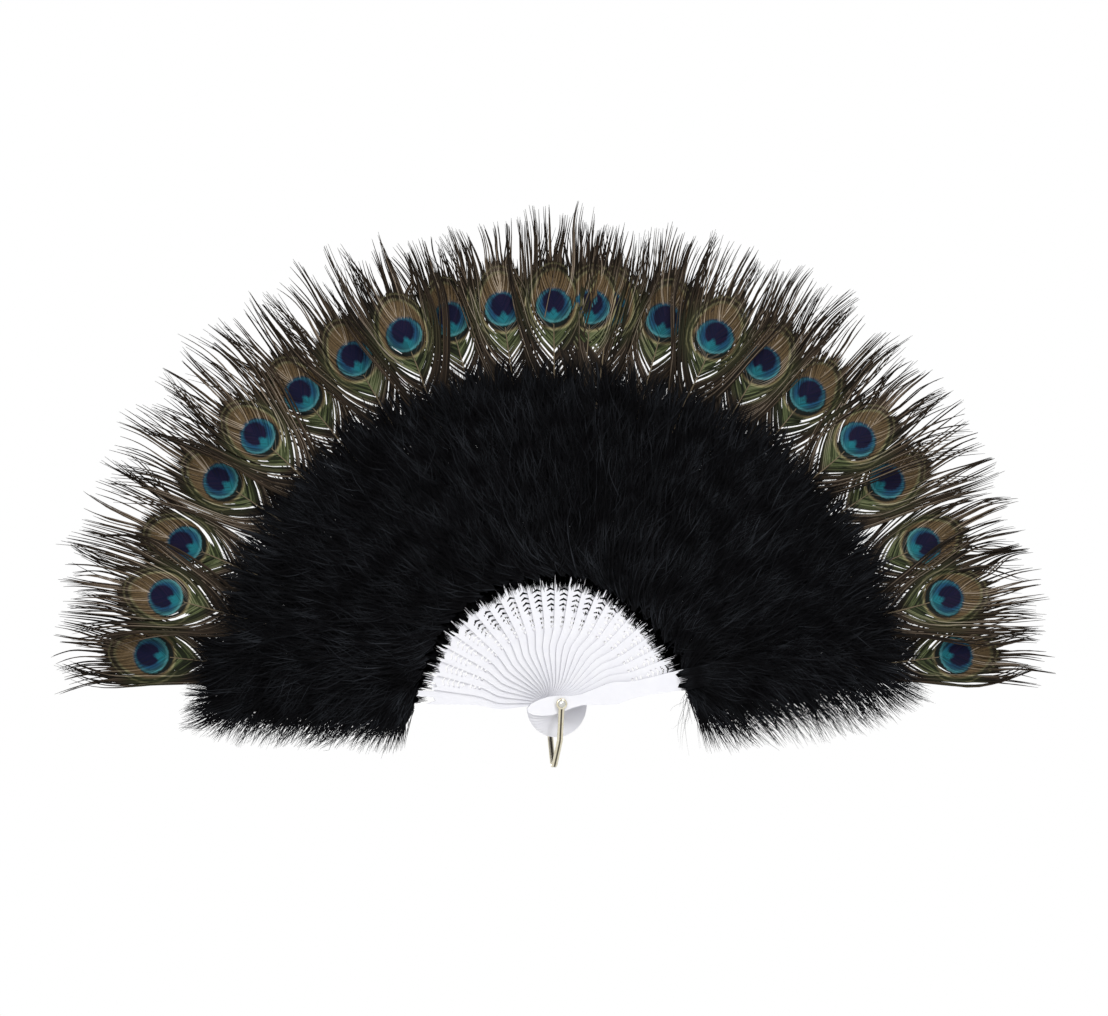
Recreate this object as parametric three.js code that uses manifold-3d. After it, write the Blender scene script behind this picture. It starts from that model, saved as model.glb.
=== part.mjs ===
// Folding feather fan, open and upright, in millimetres with +Z up and its face towards -Y.
// Twenty-five flat sticks turn on one rivet along the Y axis, which passes through the origin.
// Each stick lies in its own layer, the right-hand guard in front and the left-hand guard at the
// back, and carries a tuft of down with a peacock feather. A bail of flattened wire hangs from
// the rivet.
import * as THREE from 'three';
import { mergeVertices } from 'three/addons/utils/BufferGeometryUtils.js';
import Module from 'manifold-3d';

const wasm = await Module();
wasm.setup();

// Spread of the sticks
const stickCount = 25;
const openSpanDeg = 165.6;
const fanLeanDeg = 3.3;

// Sticks
const bladeLength = 68.5;
const bladeHalfWidth = 5.6;
const headLength = 19.2;
const headHalfWidth = 5.2;
const stickThickness = 0.75;
const guardThickness = 1.6;
const layerGap = 0.3;

// Outer end of the blade
const spikeLength = 2.6;
const notchDepth = 2.4;
const tongueLength = 108;
const tongueHalfWidth = 1.7;
const tongueTipHalfWidth = 1.1;

// Piercing, with each place measured back from the blade's end
const chevronCount = 4;
const chevronSetback = 5.8;
const chevronPitch = 2.9;
const chevronHalfWidth = 2.3;
const chevronRise = 1.5;
const chevronStroke = 1.3;
const starSetback = 16.7;
const starRadius = 1.65;
const starWaist = 0.65;
const starPoints = 4;
const slotCount = 3;
const slotSetback = 21.1;
const slotPitch = 2.5;
const slotHalfWidth = 1;
const slotHalfHeight = 0.6;

// Rivet
const pinRadius = 1.2;
const pinClearance = 0.28;
const pinSides = 10;
const domeRadius = 2.2;
const domeHeight = 1.1;
const capRadius = 2.1;
const capHeight = 2;
const capBoreDepth = 1;

// Bail
const wireRadius = 0.85;
const wireHalfWidth = 1.65;
const wireSides = 8;
const eyeSteps = 12;
const bailLength = 36.2;
const bailLeanDeg = 2.8;
const bightRadius = 3.5;
const bightSteps = 6;

// Tufts of down
const tuftEnd = 190;
const tuftHalfWidth = 35;
const seatClearance = 0.3;
const layerSpreadShare = 0.6;
const guardTuftSwell = 7;

// Peacock feathers, with one entry for each stick from the front: how far the feather's eye
// stands round from the stick, and null where a stick has none
const featherLength = 280;
const featherHalfWidth = 34;
const featherLeanDeg = [
  -3.7, -2.2, -1.1, null, -4.3,
  -3.6, -1, 0.1, 1.4, 1.9,
  3.2, -1.1, -2.6, -2.1, -1.3,
  -0.9, -0.1, null, -4.9, -3,
  -1.8, 1.6, 2.6, null, -2.8,
];

const lastStick = stickCount - 1;
const pitchDeg = openSpanDeg / lastStick;
const innerPitch = stickThickness + layerGap;
const stackThickness = 2 * guardThickness + (stickCount - 2) * stickThickness + lastStick * layerGap;
const stackHalf = stackThickness / 2;
const legOffset = stackHalf + layerGap + wireRadius;
const legLength = headLength + layerGap + wireRadius;
const pinHalfLength = legOffset + wireRadius + layerGap;
const tuftStart = bladeLength + spikeLength + seatClearance;
const forkEnd = tongueLength + seatClearance;

const stickPlastic = { color: 0xf3f3f8, roughness: 0.35, metalness: 0 };
const down = { color: 0x0b0b0d, roughness: 0.95, metalness: 0 };
const paleGold = { color: 0xcdb98a, roughness: 0.22, metalness: 1 };
const brightMetal = { color: 0xd9d9d6, roughness: 0.25, metalness: 1 };

const radians = THREE.MathUtils.degToRad;

const isGuard = (layer) => layer === 0 || layer === lastStick;

// How far back a layer's middle lies from the middle of the stack
function layerMiddle(layer) {
  if (layer === 0) return -stackHalf + guardThickness / 2;
  if (layer === lastStick) return stackHalf - guardThickness / 2;
  const firstInner = -stackHalf + guardThickness + layerGap + stickThickness / 2;
  return firstInner + (layer - 1) * innerPitch;
}

// A stick's direction, as an angle up from +X
function stickAngleDeg(layer) {
  return 90 + fanLeanDeg + (layer - lastStick / 2) * pitchDeg;
}

function meshOf(name, geometry, finish) {
  const mesh = new THREE.Mesh(geometry, new THREE.MeshStandardMaterial(finish));
  mesh.name = name;
  return mesh;
}

// Keeps positions only, with shared corners merged
function closed(geometry) {
  geometry.deleteAttribute('normal');
  geometry.deleteAttribute('uv');
  return mergeVertices(geometry);
}

function solidOf(geometry) {
  const merged = closed(geometry);
  const mesh = new wasm.Mesh({
    numProp: 3,
    vertProperties: new Float32Array(merged.attributes.position.array),
    triVerts: new Uint32Array(merged.index.array),
  });
  return new wasm.Manifold(mesh);
}

function geometryOf(solid) {
  const mesh = solid.getMesh();
  const geometry = new THREE.BufferGeometry();
  geometry.setAttribute('position', new THREE.BufferAttribute(mesh.vertProperties, 3));
  geometry.setIndex(new THREE.BufferAttribute(mesh.triVerts, 1));
  return geometry;
}

// One edge of a stick from the head's end to the blade's corner: places along the stick as shares
// of the head's or the blade's length, and half-widths as shares of theirs
const headEdgeShares = [[-1, 0.2], [-0.87, 0.6], [-0.61, 0.88], [-0.3, 1]];
const bladeEdgeShares = [
  [0, 0.82], [0.085, 0.61], [0.17, 0.54], [0.28, 0.79], [0.39, 1.05],
  [0.455, 1.12], [0.515, 1], [0.58, 0.86], [0.65, 0.82], [1, 1],
];

function edgePoints() {
  const head = headEdgeShares.map(([at, half]) => (
    new THREE.Vector2(half * headHalfWidth, at * headLength)));
  const blade = bladeEdgeShares.map(([at, half]) => (
    new THREE.Vector2(half * bladeHalfWidth, at * bladeLength)));
  return [...head, ...blade];
}

// The blade's outer corner, drawn out to a spike, its notch, which slopes as the chevrons do, and
// the tongue that runs out under the down
function endPoints() {
  const notchHalfWidth = (bladeHalfWidth + tongueHalfWidth) / 2;
  const notchRise = ((notchHalfWidth - tongueHalfWidth) * chevronRise) / chevronHalfWidth;
  return [
    new THREE.Vector2(bladeHalfWidth, bladeLength + spikeLength),
    new THREE.Vector2(notchHalfWidth, bladeLength - notchDepth),
    new THREE.Vector2(tongueHalfWidth, bladeLength - notchDepth + notchRise),
    new THREE.Vector2(tongueTipHalfWidth, tongueLength),
  ];
}

function stickOutline() {
  const right = [...edgePoints(), ...endPoints()];
  const left = right.map((p) => new THREE.Vector2(-p.x, p.y)).reverse();
  return new THREE.Shape([...right, ...left]);
}

function ring(radius, sides) {
  const points = [];
  for (let i = 0; i < sides; i += 1) {
    const turn = (2 * Math.PI * (i + 0.5)) / sides;
    points.push(new THREE.Vector2(radius * Math.cos(turn), radius * Math.sin(turn)));
  }
  return new THREE.Path(points);
}

// An arrow-like cut that points to the blade's tip
function chevron(at) {
  const tail = at - chevronStroke / 2;
  return new THREE.Path([
    new THREE.Vector2(-chevronHalfWidth, at),
    new THREE.Vector2(-chevronHalfWidth, tail),
    new THREE.Vector2(0, at + chevronRise - chevronStroke),
    new THREE.Vector2(chevronHalfWidth, tail),
    new THREE.Vector2(chevronHalfWidth, at),
    new THREE.Vector2(0, at + chevronRise),
  ]);
}

function star(at) {
  const points = [];
  for (let i = 0; i < 2 * starPoints; i += 1) {
    const reach = i % 2 ? starWaist : starRadius;
    const turn = (Math.PI * i) / starPoints;
    points.push(new THREE.Vector2(reach * Math.sin(turn), at + reach * Math.cos(turn)));
  }
  return new THREE.Path(points);
}

function slot(at) {
  return new THREE.Path([
    new THREE.Vector2(-slotHalfWidth, at - slotHalfHeight),
    new THREE.Vector2(slotHalfWidth, at - slotHalfHeight),
    new THREE.Vector2(slotHalfWidth, at + slotHalfHeight),
    new THREE.Vector2(-slotHalfWidth, at + slotHalfHeight),
  ]);
}

function piercing() {
  const holes = [star(bladeLength - starSetback)];
  for (let i = 0; i < chevronCount; i += 1) {
    holes.push(chevron(bladeLength - chevronSetback - i * chevronPitch));
  }
  for (let i = 0; i < slotCount; i += 1) {
    holes.push(slot(bladeLength - slotSetback - i * slotPitch));
  }
  return holes;
}

// A flat stick pointing up, with its layer's middle at the right depth
function stickGeometry(layer) {
  const outline = stickOutline();
  outline.holes.push(ring(pinRadius + pinClearance, pinSides));
  if (!isGuard(layer)) outline.holes.push(...piercing());
  const depth = isGuard(layer) ? guardThickness : stickThickness;
  const geometry = new THREE.ExtrudeGeometry(outline, { depth, bevelEnabled: false });
  geometry.rotateX(Math.PI / 2);
  geometry.translate(0, layerMiddle(layer) + depth / 2, 0);
  return closed(geometry);
}

// Rows across a tuft: place as a share of the tuft's length, half-width as a share of its own. The
// first rows are forked round the stick's tongue, and the layers spread from there to a later row
const forkRowShares = [[0, 0.28], [0.08, 0.78]];
const forkEndWidthShare = 0.92;
const spreadEndShare = 0.84;
const outerRowShares = [[spreadEndShare, 1], [1, 0.62]];
const bareTuftEndShare = 0.35;
// Rows across a feather's vane beyond the tuft, as shares of what is left of the feather
const featherRowShares = [[0.16, 0.52], [0.62, 0.92]];
// The vane's outer end, column by column, as shares of what is left of the feather
const featherTipShares = [0.9, 0.97, 1, 1, 0.97, 0.9];
const columnShare = 0.55;
const columns = featherTipShares.length;

function straightRow(radius, halfWidth) {
  return { radii: Array(columns).fill(radius), halfWidth };
}

function plumeRows(hasFeather) {
  const tuftSpan = tuftEnd - tuftStart;
  const tuftRow = ([at, half]) => straightRow(tuftStart + at * tuftSpan, half * tuftHalfWidth);
  const fork = straightRow(forkEnd, forkEndWidthShare * tuftHalfWidth);
  const rows = [...forkRowShares.map(tuftRow), fork, ...outerRowShares.map(tuftRow)];
  if (!hasFeather) {
    rows.at(-1).halfWidth = bareTuftEndShare * tuftHalfWidth;
    return rows;
  }
  const vaneSpan = featherLength - tuftEnd;
  const vaneRow = ([at, half]) => straightRow(tuftEnd + at * vaneSpan, half * featherHalfWidth);
  const tipRadii = featherTipShares.map((share) => tuftEnd + share * vaneSpan);
  return [...rows, ...featherRowShares.map(vaneRow), { radii: tipRadii, halfWidth: featherHalfWidth }];
}

// How far a layer's face stands out at a distance from the pivot, where the tufts puff the layers up
function puffedDepth(face, radius) {
  const spreadEnd = tuftStart + spreadEndShare * (tuftEnd - tuftStart);
  const share = THREE.MathUtils.clamp((radius - forkEnd) / (spreadEnd - forkEnd), 0, 1);
  return face + layerSpreadShare * share * face;
}

// Corner of a tuft's grid: columns are mirrored, and the two middle ones flank the tongue
function plumeCorner(row, column, leanDeg, layer) {
  const flank = tongueHalfWidth + seatClearance;
  const side = columnShare * row.halfWidth;
  const across = [-row.halfWidth, -side, -flank, flank, side, row.halfWidth][column];
  const radius = row.radii[column];
  const leanShare = THREE.MathUtils.clamp((radius - forkEnd) / (tuftEnd - forkEnd), 0, 1);
  const angle = across / radius - radians(leanDeg) * leanShare;
  const half = (isGuard(layer) ? guardThickness : stickThickness) / 2;
  return {
    x: radius * Math.sin(angle),
    z: radius * Math.cos(angle),
    front: puffedDepth(layerMiddle(layer) - half, radius),
    back: puffedDepth(layerMiddle(layer) + half, radius),
  };
}

// How far an outer tuft swells away from the stack, from nothing at its edges
function swellAt(rowIndex, rowCount, column) {
  const atEdge = column === 0 || column === columns - 1;
  return atEdge ? 0 : guardTuftSwell * Math.sin((Math.PI * rowIndex) / (rowCount - 1));
}

function plumeGeometry(layer) {
  const hasFeather = featherLeanDeg[layer] !== null;
  const rows = plumeRows(hasFeather);
  const positions = [];
  rows.forEach((row, rowIndex) => {
    for (let column = 0; column < columns; column += 1) {
      const corner = plumeCorner(row, column, featherLeanDeg[layer] ?? 0, layer);
      const swell = swellAt(rowIndex, rows.length, column);
      const front = corner.front - (layer === 0 ? swell : 0);
      const back = corner.back + (layer === lastStick ? swell : 0);
      positions.push(corner.x, front, corner.z, corner.x, back, corner.z);
    }
  });
  const geometry = new THREE.BufferGeometry();
  geometry.setAttribute('position', new THREE.Float32BufferAttribute(positions, 3));
  geometry.setIndex(gridFaces(rows.length));
  return geometry;
}

// Triangles round a grid of cells with a front and a back, where the first rows lack their middle cell
function gridFaces(rowCount) {
  const forkRows = forkRowShares.length;
  const middle = columns / 2 - 1;
  const filled = (row, column) => (
    row >= 0 && row < rowCount - 1 && column >= 0 && column < columns - 1
    && !(row < forkRows && column === middle));
  const corner = (row, column, back) => 2 * (row * columns + column) + back;
  const faces = [];
  const quad = (a, b, c, d) => faces.push(a, b, c, a, c, d);
  const wall = (r0, c0, r1, c1) => quad(
    corner(r0, c0, 0), corner(r0, c0, 1), corner(r1, c1, 1), corner(r1, c1, 0));
  for (let r = 0; r < rowCount - 1; r += 1) {
    for (let c = 0; c < columns - 1; c += 1) {
      if (!filled(r, c)) continue;
      quad(corner(r, c, 0), corner(r, c + 1, 0), corner(r + 1, c + 1, 0), corner(r + 1, c, 0));
      quad(corner(r, c, 1), corner(r + 1, c, 1), corner(r + 1, c + 1, 1), corner(r, c + 1, 1));
      if (!filled(r - 1, c)) wall(r, c, r, c + 1);
      if (!filled(r + 1, c)) wall(r + 1, c + 1, r + 1, c);
      if (!filled(r, c - 1)) wall(r + 1, c, r, c);
      if (!filled(r, c + 1)) wall(r, c + 1, r + 1, c + 1);
    }
  }
  return faces;
}

// A body of revolution round the Y axis, from a profile of radius and depth
function turned(profile, sides) {
  return new THREE.LatheGeometry(profile.map(([r, y]) => new THREE.Vector2(r, y)), sides);
}

function domeProfile(radius, height, base, direction) {
  const steps = [30, 60];
  return steps.map((deg) => [
    radius * Math.cos(radians(deg)),
    base + direction * height * Math.sin(radians(deg)),
  ]);
}

// The rivet's shank with its domed front head
function rivetPin() {
  const base = -pinHalfLength;
  const profile = [
    [0, base - domeHeight],
    ...domeProfile(domeRadius, domeHeight, base, -1).reverse(),
    [domeRadius, base],
    [pinRadius, base],
    [pinRadius, pinHalfLength + capBoreDepth],
    [0, pinHalfLength + capBoreDepth],
  ];
  return meshOf('rivet_pin', closed(turned(profile, pinSides)), brightMetal);
}

// The closed cap over the shank's rear end
function rivetCap() {
  const bore = pinRadius + pinClearance;
  const base = pinHalfLength;
  const bottom = base + capBoreDepth + pinClearance;
  const profile = [
    [0, bottom],
    [bore, bottom],
    [bore, base],
    [capRadius, base],
    ...domeProfile(capRadius, capHeight, base, 1),
    [0, base + capHeight],
  ];
  return meshOf('rivet_cap', closed(turned(profile, pinSides)), brightMetal);
}

// The bail hangs from both ends of the rivet: its legs run straight past the heads, then slant
// together to a narrow bight
function bailLine() {
  const eyeRadius = pinRadius + pinClearance + wireRadius;
  const bightMiddle = bightRadius + wireRadius - bailLength;
  const slant = Math.atan2(legOffset - bightRadius, -legLength - bightMiddle);
  const points = [
    new THREE.Vector3(0, -legOffset, -eyeRadius),
    new THREE.Vector3(0, -legOffset, -(legLength + eyeRadius) / 2),
    new THREE.Vector3(0, -legOffset, -legLength),
  ];
  for (let i = 0; i <= bightSteps; i += 1) {
    const turn = slant + ((Math.PI - 2 * slant) * i) / bightSteps;
    const depth = -bightRadius * Math.cos(turn);
    const height = bightMiddle - bightRadius * Math.sin(turn);
    points.push(new THREE.Vector3(0, depth, height));
  }
  points.push(new THREE.Vector3(0, legOffset, -legLength));
  points.push(new THREE.Vector3(0, legOffset, -(legLength + eyeRadius) / 2));
  points.push(new THREE.Vector3(0, legOffset, -eyeRadius));
  return new THREE.CatmullRomCurve3(points, false, 'centripetal');
}

function wireEye(depth) {
  const eyeRadius = pinRadius + pinClearance + wireRadius;
  const geometry = new THREE.TorusGeometry(eyeRadius, wireRadius, wireSides, eyeSteps);
  geometry.rotateX(Math.PI / 2);
  geometry.translate(0, depth, 0);
  return solidOf(geometry);
}

// The wire's section, pressed wide across the fan's face
function wireSection() {
  const widening = wireHalfWidth / wireRadius;
  const round = ring(wireRadius, wireSides).getPoints();
  return new THREE.Shape(round.map((p) => new THREE.Vector2(p.x, widening * p.y)));
}

function bail() {
  const steps = 4 * bightSteps;
  const path = { steps, extrudePath: bailLine(), bevelEnabled: false };
  const loop = new THREE.ExtrudeGeometry(wireSection(), path);
  const solid = solidOf(loop).add(wireEye(-legOffset)).add(wireEye(legOffset));
  const mesh = meshOf('bail', geometryOf(solid), paleGold);
  mesh.rotation.y = radians(bailLeanDeg);
  return mesh;
}

function layerName(layer, guardPrefix, innerPrefix) {
  if (layer === 0) return `front_${guardPrefix}`;
  if (layer === lastStick) return `rear_${guardPrefix}`;
  return `${innerPrefix}_${String(layer).padStart(2, '0')}`;
}

// One stick and its tuft, turned to their place in the open fan
function blade(layer) {
  const group = new THREE.Group();
  group.rotation.y = radians(90 - stickAngleDeg(layer));
  group.add(meshOf(layerName(layer, 'guard', 'stick'), stickGeometry(layer), stickPlastic));
  group.add(meshOf(layerName(layer, 'plume', 'plume'), plumeGeometry(layer), down));
  return group;
}

const fan = new THREE.Group();
for (let layer = 0; layer < stickCount; layer += 1) fan.add(blade(layer));
fan.add(rivetPin(), rivetCap(), bail());

export default fan;
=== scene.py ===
"""A folding feather fan, open and upright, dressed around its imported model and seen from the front."""

import math

import bpy
import numpy as np
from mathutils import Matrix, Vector


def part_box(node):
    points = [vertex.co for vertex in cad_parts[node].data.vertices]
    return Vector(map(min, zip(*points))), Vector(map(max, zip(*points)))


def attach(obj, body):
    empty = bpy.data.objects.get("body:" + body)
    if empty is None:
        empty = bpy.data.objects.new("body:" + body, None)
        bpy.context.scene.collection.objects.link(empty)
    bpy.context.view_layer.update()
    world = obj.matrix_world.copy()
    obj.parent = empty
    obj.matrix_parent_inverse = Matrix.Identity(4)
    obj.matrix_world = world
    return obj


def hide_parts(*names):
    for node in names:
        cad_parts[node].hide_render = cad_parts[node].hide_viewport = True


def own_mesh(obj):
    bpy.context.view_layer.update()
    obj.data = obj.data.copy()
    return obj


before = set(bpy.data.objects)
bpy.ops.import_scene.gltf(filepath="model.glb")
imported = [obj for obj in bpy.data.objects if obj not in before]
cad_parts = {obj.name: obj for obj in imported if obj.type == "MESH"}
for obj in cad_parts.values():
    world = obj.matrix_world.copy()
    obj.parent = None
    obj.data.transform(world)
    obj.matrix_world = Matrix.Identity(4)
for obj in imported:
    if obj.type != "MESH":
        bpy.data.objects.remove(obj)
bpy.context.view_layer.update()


# Camera
# A long lens, level with the middle of the picture and turned a little to the fan's left, which
# shows the rear heads and the bail's rear leg just left of the front ones. Distances are in metres.
MM = 0.001
SENSOR_MM = 36.0
VIEW_TURN_DEG = -10.0
VIEW_DISTANCE = 2.2
VIEW_WIDTH = 0.615
VIEW_MIDDLE = Vector((-0.0016, 0.0, 0.1080))

camera_data = bpy.data.cameras.new("camera")
camera_data.sensor_width = SENSOR_MM
camera_data.lens = camera_data.sensor_width * VIEW_DISTANCE / VIEW_WIDTH
camera = bpy.data.objects.new("camera", camera_data)
bpy.context.scene.collection.objects.link(camera)
view_turn = math.radians(VIEW_TURN_DEG)
towards_camera = Vector((math.sin(view_turn), -math.cos(view_turn), 0.0))
camera.location = VIEW_MIDDLE + VIEW_DISTANCE * towards_camera
camera.rotation_euler = (0.5 * math.pi, 0.0, view_turn)
bpy.context.scene.camera = camera


# Sticks
# Twenty-five flat sticks of white polystyrene, injection moulded in one tool with their piercing,
# so each has a smooth low gloss, a faint swirl in its colour and edges that are barely rounded.
MOULDED_WHITE = "#f3f3f6"
MOULDED_WHITE_SHADED = "#e8e8ef"
# Grey painted on the sticks' thin edges as shade.
MOULDED_EDGE_PAINTED_SHADE = "#a9a9b4"
MOULD_SWIRL_MM = 9.0
MOULD_GRAIN_MM = 0.6
MOULD_GRAIN_DEPTH_MM = 0.05
EDGE_ROUND_MM = 0.12
EDGE_ROUND_STEPS = 2
EDGE_LEAST_DEG = 50.0


def linear(hex_colour):
    """An sRGB hex colour as the linear colour that a socket takes."""
    parts = [int(hex_colour[i:i + 2], 16) / 255 for i in (1, 3, 5)]
    return [p / 12.92 if p <= 0.04045 else ((p + 0.055) / 1.055) ** 2.4 for p in parts] + [1.0]


def add_node(tree, kind, settings, inputs, output=0):
    """Adds a node with its settings and links, and gives one of its outputs. An input takes a value
    or another node's output."""
    made = tree.nodes.new("ShaderNode" + kind)
    for name, value in settings.items():
        setattr(made, name, value)
    for name, value in inputs.items():
        if isinstance(value, bpy.types.NodeSocket):
            tree.links.new(value, made.inputs[name])
        else:
            made.inputs[name].default_value = value
    return made.outputs[output] if made.outputs else None


def new_finish(name):
    """A material with an empty node tree, and that tree."""
    finish = bpy.data.materials.new(name)
    finish.use_nodes = True
    finish.node_tree.nodes.clear()
    return finish, finish.node_tree


def moulded_polystyrene():
    """White polystyrene from a polished mould: even colour, soft gloss and slight waves in the face, with
    shade painted on the thin edges as a greyer tone."""
    finish, tree = new_finish("moulded_polystyrene")
    face = add_node(tree, "NewGeometry", {}, {}).node.outputs
    swirl = add_node(tree, "TexNoise", {}, {
        "Vector": face["Position"], "Scale": 1 / (MOULD_SWIRL_MM * MM), "Detail": 3.0, "Distortion": 0.6})
    tint = add_node(tree, "Mix", {"data_type": "RGBA"}, {
        "Factor": swirl, 6: linear(MOULDED_WHITE), 7: linear(MOULDED_WHITE_SHADED)}, 2)
    # Painted shade: faces turned side-on, the thin edges where the stacked sticks shade each other, are
    # coloured grey.
    facing = add_node(tree, "SeparateXYZ", {}, {0: face["Normal"]}, "Y")
    flatness = add_node(tree, "Math", {"operation": "ABSOLUTE"}, {0: facing})
    painted_edge_shade = add_node(tree, "MapRange", {}, {
        "Value": flatness, "From Min": 0.3, "From Max": 0.8, "To Min": 1.0, "To Max": 0.0})
    with_painted_edge_shade = add_node(tree, "Mix", {"data_type": "RGBA"}, {
        "Factor": painted_edge_shade, 6: tint, 7: linear(MOULDED_EDGE_PAINTED_SHADE)}, 2)
    grain = add_node(tree, "TexNoise", {}, {
        "Vector": face["Position"], "Scale": 1 / (MOULD_GRAIN_MM * MM), "Detail": 2.0})
    relief = add_node(tree, "Bump", {}, {
        "Strength": 0.12, "Distance": MOULD_GRAIN_DEPTH_MM * MM, "Height": grain})
    shader = add_node(tree, "BsdfPrincipled", {}, {
        "Base Color": with_painted_edge_shade, "Normal": relief, "Roughness": 0.38, "IOR": 1.59, "Specular IOR Level": 0.4})
    add_node(tree, "OutputMaterial", {}, {"Surface": shader})
    return finish


LAYER_STICKS = ["front_guard", *(f"stick_{i:02d}" for i in range(1, 24)), "rear_guard"]

stick_white = moulded_polystyrene()
for stick_name in LAYER_STICKS:
    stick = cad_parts[stick_name]
    stick.data.materials.clear()
    stick.data.materials.append(stick_white)
    rounding = stick.modifiers.new("edge_rounding", "BEVEL")
    rounding.width = EDGE_ROUND_MM * MM
    rounding.segments = EDGE_ROUND_STEPS
    rounding.limit_method = "ANGLE"
    rounding.angle_limit = math.radians(EDGE_LEAST_DEG)
    rounding.harden_normals = True


# Rivet
# A nickel-plated steel rivet: its shank passes through every head, its front end is a small domed
# head, and a closed cap is pressed over its rear end.
RIVET_STEEL = "#d8d8d4"
RIVET_STEEL_DULL = "#b9b8b2"
TUMBLE_MARK_MM = 0.5
DOME_SIDES = 48
DOME_STEPS = 8
CROWN_RADIUS_MM = 0.001
HEAD_HEIGHT_MM = 1.1
HEAD_LIP_MM = 0.12
HEAD_LIP_SHARE = 0.97
SHANK_RADIUS_MM = 1.2
SHANK_POINT_MM = 0.2
SHANK_POINT_SHARE = 0.8
CAP_BORE_MM = 1.48
CAP_BORE_SHARE = 0.65
CAP_MOUTH_MM = 0.1
CAP_MOUTH_SHARE = 1.05
CAP_LIP_MM = 0.15
CAP_LIP_SHARE = 0.96


def plated_steel():
    """Nickel-plated steel: bright, slightly warm metal with fine tumbling marks."""
    finish, tree = new_finish("nickel_plated_steel")
    place = add_node(tree, "NewGeometry", {}, {}, "Position")
    marks = add_node(tree, "TexNoise", {}, {
        "Vector": place, "Scale": 1 / (TUMBLE_MARK_MM * MM), "Detail": 4.0})
    tint = add_node(tree, "Mix", {"data_type": "RGBA"}, {
        "Factor": marks, 6: linear(RIVET_STEEL), 7: linear(RIVET_STEEL_DULL)}, 2)
    gloss = add_node(tree, "MapRange", {}, {"Value": marks, "To Min": 0.16, "To Max": 0.34})
    shader = add_node(tree, "BsdfPrincipled", {}, {"Base Color": tint, "Roughness": gloss, "Metallic": 1.0})
    add_node(tree, "OutputMaterial", {}, {"Surface": shader})
    return finish


def mesh_piece(name, corners, faces, finish, body, slot_name, node_name, attributes):
    """A mesh that rides on a body and stands for a CAD node; the slot name it is given is not used. Its
    attributes are one number or three numbers for each corner."""
    mesh = bpy.data.meshes.new(name)
    corners = np.asarray(corners, float).reshape(-1, 3)
    mesh.vertices.add(len(corners))
    mesh.vertices.foreach_set("co", corners.astype(np.float32).ravel())
    mesh.loops.add(faces.size)
    mesh.loops.foreach_set("vertex_index", faces.astype(np.int32).ravel())
    mesh.polygons.add(len(faces))
    mesh.polygons.foreach_set("loop_start", np.arange(0, faces.size, faces.shape[1], dtype=np.int32))
    for attribute_name, values in attributes.items():
        kind, field = ("FLOAT", "value") if values.ndim == 1 else ("FLOAT_VECTOR", "vector")
        attribute = mesh.attributes.new(attribute_name, kind, "POINT")
        attribute.data.foreach_set(field, values.astype(np.float32).ravel())
    mesh.update(calc_edges=True)
    mesh.validate()
    mesh.shade_smooth()
    mesh.materials.append(finish)
    piece = bpy.data.objects.new(name, mesh)
    bpy.context.scene.collection.objects.link(piece)
    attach(piece, body)
    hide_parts(node_name)
    return piece


def grid_faces(rows, columns, close_rows=False, close_columns=False):
    """Quads over a grid of corners, joined round in either direction where asked."""
    r = np.arange(rows if close_rows else rows - 1)
    c = np.arange(columns if close_columns else columns - 1)
    r, c = (a.ravel() for a in np.meshgrid(r, c, indexing="ij"))
    r2, c2 = (r + 1) % rows, (c + 1) % columns
    return np.stack([r * columns + c, r * columns + c2, r2 * columns + c2, r2 * columns + c], 1)


def turned_on_y(profile):
    """Corners and quads of a profile of (radius, depth) pairs, turned round the Y axis."""
    profile = np.array(profile, float)
    turn = 2 * math.pi * np.arange(DOME_SIDES) / DOME_SIDES
    radius, depth = profile[:, :1], np.repeat(profile[:, 1:], DOME_SIDES, 1)
    corners = np.stack([radius * np.cos(turn), depth, radius * np.sin(turn)], 2)
    return corners, grid_faces(len(profile), DOME_SIDES, close_columns=True)


def dome(radius, base, height, direction):
    """Profile of a dome from its foot to its crown, which ends just off the axis."""
    steps = np.linspace(0.0, 0.5 * math.pi, DOME_STEPS)
    return [(max(radius * math.cos(a), CROWN_RADIUS_MM * MM), base + direction * height * math.sin(a))
            for a in steps]


rivet_finish = plated_steel()
pin_low, pin_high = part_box("rivet_pin")
cap_low, cap_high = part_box("rivet_cap")
crown_radius = CROWN_RADIUS_MM * MM
head_radius = pin_high.x
head_height = HEAD_HEIGHT_MM * MM
head_foot = pin_low.y + head_height
shank_radius = SHANK_RADIUS_MM * MM
pin_profile = dome(head_radius, head_foot, head_height, -1)[::-1] + [
    (HEAD_LIP_SHARE * head_radius, head_foot + HEAD_LIP_MM * MM),
    (shank_radius, head_foot + HEAD_LIP_MM * MM),
    (shank_radius, pin_high.y - SHANK_POINT_MM * MM),
    (SHANK_POINT_SHARE * shank_radius, pin_high.y),
    (crown_radius, pin_high.y)]
mesh_piece("rivet_pin_plated", *turned_on_y(pin_profile), rivet_finish, "centre_blade",
           "rivet_metal", "rivet_pin", {})

cap_radius = cap_high.x
cap_bore = CAP_BORE_MM * MM
cap_height = cap_high.y - cap_low.y
cap_lip = CAP_LIP_MM * MM
cap_profile = [
    (crown_radius, cap_low.y + CAP_BORE_SHARE * cap_height),
    (cap_bore, cap_low.y + CAP_BORE_SHARE * cap_height),
    (cap_bore, cap_low.y + CAP_MOUTH_MM * MM),
    (CAP_MOUTH_SHARE * cap_bore, cap_low.y),
    (CAP_LIP_SHARE * cap_radius, cap_low.y)] + dome(cap_radius, cap_low.y + cap_lip, cap_height - cap_lip, 1)
mesh_piece("rivet_cap_plated", *turned_on_y(cap_profile), rivet_finish, "centre_blade",
           "rivet_metal", "rivet_cap", {})


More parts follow.
